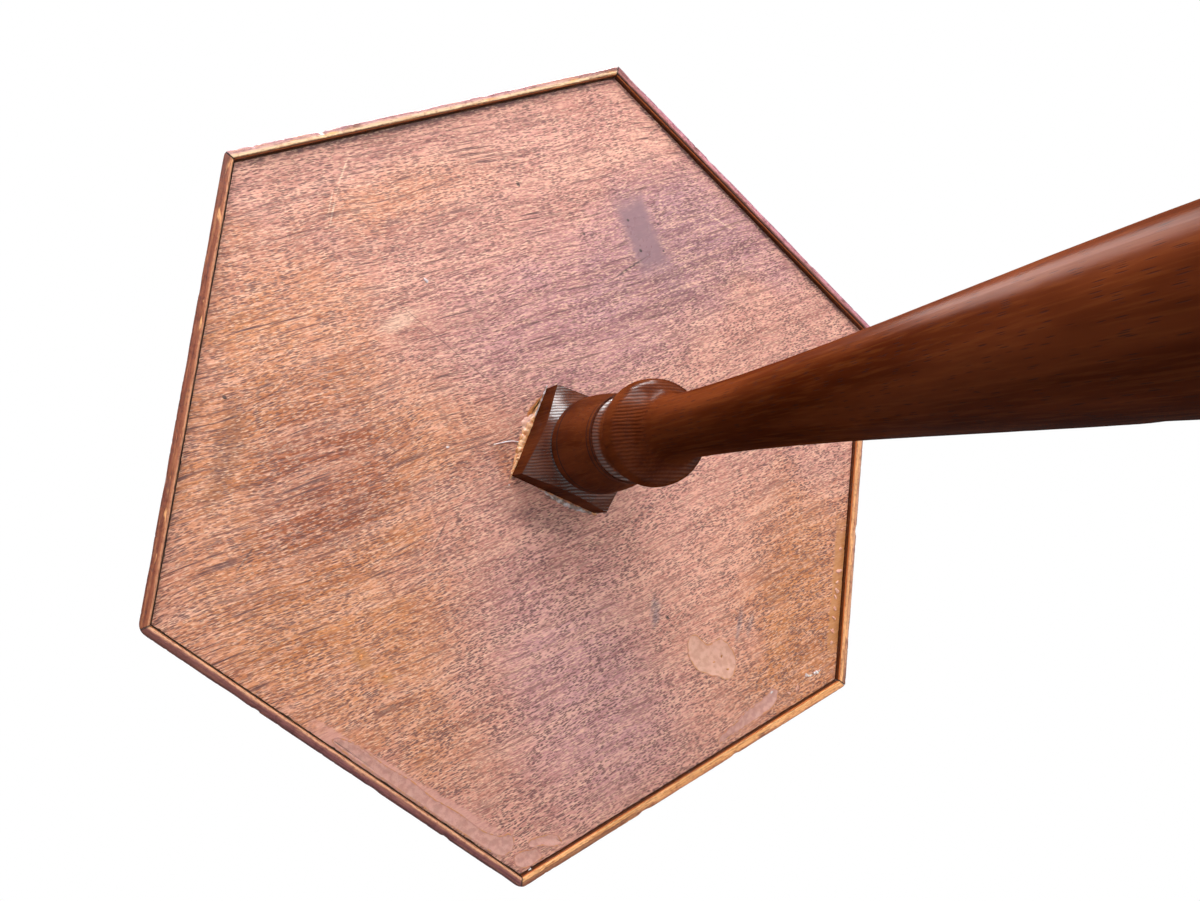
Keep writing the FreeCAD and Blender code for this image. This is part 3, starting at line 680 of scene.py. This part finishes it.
def plainWoodFinish(name, light, dark, turn):
    material, tree, shader = startMaterial(name, Roughness=0.7)
    along = turnedPosition(tree, turn)
    streak = useGroup(tree, fibres, Vector=along, Stretch=12.0, Scale=0.4)["Streak"]
    tree.links.new(blend(tree, fade(tree, streak, 0.35, 0.65), dark, light),
                   shader.inputs["Base Color"])
    relief(tree, shader, streak, 0.3, 0.2)
    return material


steel = {
    "plate": (0.42, 0.40, 0.38, 1),
    "screws": (0.55, 0.52, 0.48, 1),
    "dull": 0.55,  # brightness of the dull places
    "rust": (0.16, 0.06, 0.025, 1),
}


def steelFinish(name, bright):
    material, tree, shader = startMaterial(name, Metallic=1.0)
    place = turnedPosition(tree)
    rust = cloud(tree, place, 0.22, 5, 0.65)
    shade = cloud(tree, place, 0.9, 4, 0.6)
    colour = blend(tree, shade, tuple(steel["dull"] * c for c in bright[:3]) + (1,), bright)
    colour = blend(tree, fade(tree, rust, 0.52, 0.66, 0.0, 0.8), colour, steel["rust"])
    tree.links.new(colour, shader.inputs["Base Color"])
    tree.links.new(fade(tree, rust, 0.5, 0.66, 1.0, 0.25), shader.inputs["Metallic"])
    tree.links.new(fade(tree, rust, 0.45, 0.66, 0.34, 0.75), shader.inputs["Roughness"])
    relief(tree, shader, calc(tree, "ADD", rust, shade), 0.3, 0.1)
    return material


def glueFinish(name, light, dark, roughness):
    material, tree, shader = startMaterial(name, IOR=1.5, Subsurface_Weight=0.2, Subsurface_Scale=0.002,
                                           Coat_Weight=0.35, Coat_Roughness=0.15)
    place = turnedPosition(tree)
    lumps = cloud(tree, place, 0.30, 3, 0.5)
    grime = cloud(tree, place, 1.1, 3, 0.6)
    colour = blend(tree, fade(tree, lumps, 0.38, 0.62), dark, light)
    colour = blend(tree, fade(tree, grime, 0.60, 0.72, 0.0, 0.5), colour, paint["brown"])
    tree.links.new(colour, shader.inputs["Base Color"])
    tree.links.new(fade(tree, lumps, 0.3, 0.7, roughness, roughness + 0.2), shader.inputs["Roughness"])
    relief(tree, shader, calc(tree, "ADD", lumps, grime), 0.35, 0.2)
    return material


glue = {
    "amber": ((0.606, 0.318, 0.158, 1), (0.361, 0.137, 0.0433, 1), 0.2),
    "rim": ((0.447, 0.187, 0.0649, 1), (0.216, 0.0649, 0.0216, 1), 0.3),
    "grey": ((0.332, 0.267, 0.267, 1), (0.144, 0.0866, 0.0649, 1), 0.12),
    "white": ((0.649, 0.606, 0.62, 1), (0.447, 0.361, 0.361, 1), 0.3),
    "film": ((0.546, 0.286, 0.212, 1), (0.459, 0.224, 0.155, 1), 0.35),
    "skin": ((0.491, 0.246, 0.202, 1), (0.39, 0.18, 0.144, 1), 0.35),
    "torn": ((0.577, 0.231, 0.0649, 1), (0.303, 0.0942, 0.0216, 1), 0.6),
    "voxel": 0.3,
    "blockTurn": 15,  # turn of the column's square block
    "bubbleSize": (0.45, 0.95),
    "threadRadius": 0.42,
    # runs: name, paint, turn of the block's face, bubbles, then each lump's place along it,
    # width and drop
    "runs": (
        ("glueSqueezeOut", "amber", -15, 16, ((-28, 0.5, 1.0), (-25, 1.2, 1.6), (-21, 2.0, 2.3),
                                              (-17, 2.6, 2.3), (-13, 3.4, 2.6), (-9, 3.9, 2.4),
                                              (-5, 4.2, 2.5), (-1, 4.3, 2.2), (3, 4.2, 2.4),
                                              (7, 3.0, 1.8), (10, 1.6, 1.2))),
        ("glueLump", "film", -15, 2, ((1, 5.2, 1.2), (3.5, 6.8, 1.5), (5.5, 6.2, 1.3), (8, 4.2, 1.0))),
        ("glueLine", "grey", -15, 4, ((8, 0.9, 1.5), (11, 0.9, 1.7), (14, 0.8, 1.5), (17, 0.9, 1.8),
                                      (20, 0.8, 1.6), (23, 0.9, 1.7), (26, 0.7, 1.4), (28, 0.5, 1.0))),
        ("glueSliver", "grey", -105, 2, ((-29, 0.6, 0.5), (-25, 1.6, 0.8), (-21, 2.6, 1.0),
                                         (-17, 3.4, 1.1), (-13, 3.8, 1.2), (-9, 3.9, 1.1),
                                         (-5, 3.6, 1.1), (-1, 2.9, 1.0), (3, 2.0, 0.8), (7, 1.0, 0.6))),
        ("glueSliverEdge", "rim", -105, 4, ((-28, 1.0, 0.9), (-22, 1.0, 1.5), (-16, 1.0, 1.7),
                                            (-10, 1.0, 1.8), (-4, 1.0, 1.7), (2, 0.9, 1.5),
                                            (8, 0.7, 1.0))),
    ),
    # films: name, paint, thickness, outline
    "films": (
        ("gluePatch", "film", 0.45, ((-175, -43), (-172.5, -36), (-169, -32), (-163, -29.5),
                                     (-157.5, -28.4), (-152, -30.5), (-149.5, -34), (-147.5, -38.5),
                                     (-142.5, -38), (-137, -37.4), (-134, -41), (-135, -46.5),
                                     (-141, -52.5), (-151, -55.5), (-160, -52.5), (-168, -49),
                                     (-173.5, -47))),
        ("sideFilm", "skin", 0.3, ((-207, -31), (-203.5, -33), (-203, -40), (-199.8, -47),
                                   (-196, -54.6), (-194.5, -62), (-192, -70), (-188, -80), (-191, -84),
                                   (-198, -70), (-203, -61), (-209, -49), (-213, -40), (-211, -34))),
        ("cornerFilm", "skin", 0.4, ((-134, -184), (-129, -181.5), (-121, -186), (-115, -193),
                                     (-117.5, -197), (-124, -191.5), (-131, -188.5))),
        ("cornerDrip", "skin", 0.4, ((-128, -196), (-122, -194), (-115.5, -199), (-112, -205),
                                     (-116, -208.5), (-122, -207), (-126.5, -201.5))),
        ("bottomFilm", "skin", 0.3, ((-107, -196.5), (-102, -196), (-98, -200.5), (-88, -203),
                                     (-70, -202), (-52, -203.5), (-36, -202), (-20, -203.5),
                                     (0, -202.5), (12, -205), (13, -209), (4, -210), (-40, -210),
                                     (-90, -210), (-106, -209.5), (-110, -202))),
        ("tornWood", "torn", 0.5, ((34.5, 17.7), (34.8, 13.5), (35.1, 9.2), (35.4, 5.1), (35.2, 1.0),
                                   (33.4, -1.7), (29.3, -0.5), (33.6, 17.2))),
    ),
    # crumbs: name, paint, then place and size of each
    "crumbs": (
        ("whiteCrumbs", "white", ((-222, -11, 1.2), (-223.5, -10.3, 0.9), (-225.5, -9, 0.8),
                                  (-227, -6, 1.1), (-228.5, -4.4, 1.3), (-229.4, -2.8, 0.8),
                                  (-205.5, -35, 0.9), (-125.5, -206, 0.9), (129, 21.5, 1.3),
                                  (18, -40, 0.5), (60, -46, 1.0))),
        ("edgeLumps", "film", ((-204, 61, 1.5), (-207.5, 54, 1.2), (-210.5, 49, 1.7), (-212, 45, 1.3),
                               (-216, 38.5, 1.4), (-219, 33, 1.2), (-223, 25, 1.5), (-227, 18, 1.1),
                               (-196.5, 74, 1.2), (-190, 86, 1.0), (-221, -22, 1.5),
                               (-217.5, -28, 1.2))),
        ("glueGrit", "torn", ((27, -166, 1.3), (30, -164, 0.8), (10, -167, 1.1), (-160.5, -38, 0.9),
                              (-158, -44, 0.7), (-169, -42, 0.8))),
    ),
    "whisker": ((28.3, -16.4), (30.8, -17.4), (34.2, -20.4), (37.2, -24.2), (39.8, -27.4)),
}


def blockPoint(turn, along, out, drop):  # a place beside the column's square block, from millimetres
    turned = math.radians(glue["blockTurn"])  # the block's corners reach the column's box
    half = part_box("column")[1].x / (math.cos(turned) + math.sin(turned)) / mm
    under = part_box("underside_veneer")[0].z / mm
    return Matrix.Rotation(math.radians(turn), 4, "Z") @ Vector((half + out, along, under - drop)) * mm


def makeRun(name, colours, turn, bubbles, lumps, chance):
    bm = bmesh.new()
    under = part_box("underside_veneer")[0].z
    for along, width, drop in lumps:
        shape = Matrix.Translation(blockPoint(turn, along, width * 0.15, 0.0))
        shape = shape @ Matrix.Rotation(math.radians(turn), 4, "Z") @ Matrix.Diagonal(
            (width * 0.85 * mm, 3.4 * mm * chance.uniform(0.85, 1.15), drop * mm, 1))
        bmesh.ops.create_icosphere(bm, subdivisions=3, radius=1, matrix=shape)
    draft = bpy.data.objects.new(name, bpy.data.meshes.new(name))
    bm.to_mesh(draft.data)
    bm.free()
    scene.collection.objects.link(draft)
    merge = draft.modifiers.new("merge", "REMESH")
    merge.mode = "VOXEL"
    merge.voxel_size = glue["voxel"] * mm
    settle = draft.modifiers.new("settle", "SMOOTH")
    settle.iterations = 6
    bpy.context.view_layer.update()
    bm = bmesh.new()
    bm.from_mesh(draft.evaluated_get(bpy.context.evaluated_depsgraph_get()).to_mesh())
    bpy.data.objects.remove(draft)
    for vert in bm.verts:
        vert.co += vert.normal * noise.noise(vert.co * 260) * 0.35 * mm
    for count in range(bubbles):  # burst bubbles
        centre = chance.choice(bm.verts[:]).co.copy()
        size = chance.uniform(*glue["bubbleSize"]) * mm
        for vert in bm.verts:
            depth = (vert.co - centre).length / size
            if depth < 1:
                vert.co -= vert.normal * size * 1.1 * (1 - depth * depth)
    cut = bmesh.ops.bisect_plane(bm, geom=bm.verts[:] + bm.edges[:] + bm.faces[:],
                                 plane_co=(0, 0, under),
                                 plane_no=(0, 0, 1), clear_outer=True)
    rim = [edge for edge in cut["geom_cut"] if isinstance(edge, bmesh.types.BMEdge)]
    bmesh.ops.holes_fill(bm, edges=rim, sides=0)
    return finishPiece(name, bm, [glueFinish(name, *colours)])


def makeFilm(name, colours, thick, outline):  # a thin dried smear with a raised rim
    bm = bmesh.new()
    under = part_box("underside_veneer")[0].z
    border = bm.faces.new([bm.verts.new((x * mm, y * mm, under)) for x, y in outline])
    bmesh.ops.subdivide_edges(bm, edges=bm.edges[:], cuts=6)
    for count in range(4):
        bmesh.ops.smooth_vert(bm, verts=bm.verts, factor=0.5, use_axis_x=True, use_axis_y=True)
    centre = border.calc_center_median()
    for vert in bm.verts:
        vert.co += (vert.co - centre).normalized() * noise.noise(vert.co * 260) * 0.9 * mm
    grown = bmesh.ops.extrude_face_region(bm, geom=bm.faces[:])
    bmesh.ops.translate(bm, verts=[v for v in grown["geom"] if isinstance(v, bmesh.types.BMVert)],
                        vec=(0, 0, -thick * mm))
    lower = next(f for f in grown["geom"] if isinstance(f, bmesh.types.BMFace))
    ring = bmesh.ops.inset_region(bm, faces=[lower], thickness=0.7 * mm, depth=0)["faces"]
    bmesh.ops.inset_region(bm, faces=[lower], thickness=0.5 * mm, depth=-0.4 * thick * mm)
    for face in ring:
        face.material_index = 1
    rimmed = [glueFinish(name, *colours), glueFinish(name + "Rim", colours[1], glue["rim"][0], 0.3)]
    return finishPiece(name, bm, rimmed)


def makeCrumbs(name, colours, crumbs, chance):
    bm = bmesh.new()
    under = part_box("underside_veneer")[0].z
    for x, y, size in crumbs:
        turn = Matrix.Rotation(chance.uniform(0, math.pi), 4, "Z")
        shape = Matrix.Translation((x * mm, y * mm, under - 0.15 * size * mm)) @ turn @ Matrix.Diagonal(
            (size * mm * chance.uniform(0.9, 1.6), size * mm * 0.7, size * mm * 0.45, 1))
        lump = bmesh.ops.create_icosphere(bm, subdivisions=3, radius=1, matrix=shape)["verts"]
        for vert in lump:
            vert.co += vert.normal * noise.noise(vert.co * 900) * 0.45 * size * mm
            vert.co.z = min(vert.co.z, under)
    return finishPiece(name, bm, [glueFinish(name, *colours)])


def makeWhisker():  # a thread of glue drawn out and dried on the veneer
    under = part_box("underside_veneer")[0].z
    line = bpy.data.curves.new("glueWhisker", "CURVE")
    line.dimensions = "3D"
    spline = line.splines.new("NURBS")
    spline.points.add(len(glue["whisker"]) - 1)
    for index, (point, (x, y)) in enumerate(zip(spline.points, glue["whisker"])):
        point.co = (x * mm, y * mm, under - (0.45 + 0.25 * (index % 2)) * mm, 1)
        point.radius = 1.0 if index < 3 else 0.7
    spline.order_u = 3
    spline.use_endpoint_u = True
    line.bevel_depth = glue["threadRadius"] * mm
    line.bevel_resolution = 3
    line.use_fill_caps = True
    draft = bpy.data.objects.new("glueWhisker", line)
    bm = bmesh.new()
    bm.from_mesh(bpy.data.meshes.new_from_object(draft))
    bpy.data.objects.remove(draft)
    return finishPiece("glueWhisker", bm, [glueFinish("glueWhisker", *glue["white"])])


def makeGlue():
    chance = random.Random(5)
    for name, colours, turn, bubbles, lumps in glue["runs"]:
        piece = makeRun(name, glue[colours], turn, bubbles, lumps, chance)
        if name == "glueSqueezeOut":
            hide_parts("old_glue")
    for name, colours, thick, outline in glue["films"]:
        makeFilm(name, glue[colours], thick, outline)
    for name, colours, crumbs in glue["crumbs"]:
        makeCrumbs(name, glue[colours], crumbs, chance)
    makeWhisker()


print("top")
makeUnderside()
for number in edging["across"]:
    makeStrip(number)
dress("top_veneer", topFinish())
dress("core_board", plainWoodFinish("coreBoard", *plainWood["core"]))
print("column, legs and plate")
dress("column", mahoganyFinish("turnedColumn", mahogany["layerTurn"]))
for number in (1, 2, 3):
    dress("leg_%d" % number,
          mahoganyFinish("leg%d" % number, 120 * number - 120, mahogany["legTilt"], False))
dress("top_dowel", plainWoodFinish("beechDowel", *plainWood["dowel"]))
dress("spider_plate", steelFinish("steelPlate", steel["plate"]))
dress("plate_screws", steelFinish("steelScrews", steel["screws"]))
print("old glue")
makeGlue()

room = {
    "floorSide": 12.0,
    "floorColour": (0.80, 0.79, 0.78, 1),
    "speckle": 0.97,  # brightness of the darker spots
    "fadeFrom": 600,  # the floor turns to plain white beyond this distance, in millimetres
    "fadeTo": 1500,
    "worldLight": 0.20,
    "lampHeight": 0.8,  # the point the lamps turn about, as a share of the height
    # lamps: azimuth, elevation, distance, side, watts
    "lamps": {
        "window": (30, 2, 1.6, 0.8, 27),
        "side": (58, 30, 1.6, 0.8, 88),
        "low": (41, -19, 1.4, 0.42, 8.5),
        "overhead": (150, 78, 2.2, 1.6, 16),
    },
}


def makeRoom():
    bm = bmesh.new()
    bmesh.ops.create_grid(bm, x_segments=1, y_segments=1, size=room["floorSide"] / 2)
    mesh = bpy.data.meshes.new("floor")
    bm.to_mesh(mesh)
    bm.free()
    floor = bpy.data.objects.new("floor", mesh)
    scene.collection.objects.link(floor)
    material, tree, shader = startMaterial("paleFloor", Roughness=0.8, Emission_Strength=1.0)
    place = turnedPosition(tree)
    reach = addNode(tree, "VectorMath", {0: place}, operation="LENGTH").outputs["Value"]
    far = fade(tree, reach, room["fadeFrom"], room["fadeTo"])
    speckle = cloud(tree, place, 0.02, 3)
    colour = blend(tree, speckle, tuple(room["speckle"] * c for c in room["floorColour"][:3]) + (1,),
                   room["floorColour"])
    seen = calc(tree, "MULTIPLY", far, addNode(tree, "LightPath").outputs["Is Camera Ray"])
    tree.links.new(blend(tree, seen, colour, (0, 0, 0, 1)), shader.inputs["Base Color"])
    tree.links.new(blend(tree, seen, (0, 0, 0, 1), (1, 1, 1, 1)), shader.inputs["Emission Color"])
    mesh.materials.append(material)
    world = bpy.data.worlds.new("studio")
    scene.world = world
    world.use_nodes = True
    tree = world.node_tree
    path = addNode(tree, "LightPath").outputs
    seen = calc(tree, "MAXIMUM", path["Is Camera Ray"], calc(tree, "MAXIMUM", path["Is Glossy Ray"],
                                                             path["Is Transmission Ray"]))
    strength = addNode(tree, "Mix", {0: seen, 2: room["worldLight"], 3: 1.0}).outputs[0]
    feed(tree, tree.nodes["Background"], {"Color": (1, 1, 1, 1), "Strength": strength})
    middle = Vector((0, 0, cadBox[1].z * room["lampHeight"]))
    for name, (azimuth, elevation, distance, side, watts) in room["lamps"].items():
        lamp = bpy.data.lights.new(name, "AREA")
        lamp.energy = watts
        lamp.size = side
        holder = bpy.data.objects.new(name, lamp)
        scene.collection.objects.link(holder)
        a, e = math.radians(azimuth), math.radians(elevation)
        holder.location = middle + distance * Vector((math.cos(e) * math.cos(a),
                                                      math.cos(e) * math.sin(a),
                                                      math.sin(e)))
        holder.rotation_euler = (middle - holder.location).to_track_quat("-Z", "Y").to_euler()
        holder.visible_camera = False


viewpoint = {"place": (0.1422, -0.1741, 0.1278), "aim": (-0.0151, 0.0131, 0.6476), "roll": -101.7,
             "lens": 28.13}


def makeCamera():
    camera = bpy.data.cameras.new("camera")
    camera.lens = viewpoint["lens"]
    camera.clip_start = 0.01
    holder = bpy.data.objects.new("camera", camera)
    scene.collection.objects.link(holder)
    holder.location = viewpoint["place"]
    look = (Vector(viewpoint["aim"]) - holder.location).to_track_quat("-Z", "Y")
    holder.rotation_euler = (look @ Quaternion((0, 0, 1), math.radians(viewpoint["roll"]))).to_euler()
    scene.camera = holder
    scene.view_settings.view_transform = "Standard"


print("room and camera")
makeRoom()
makeCamera()
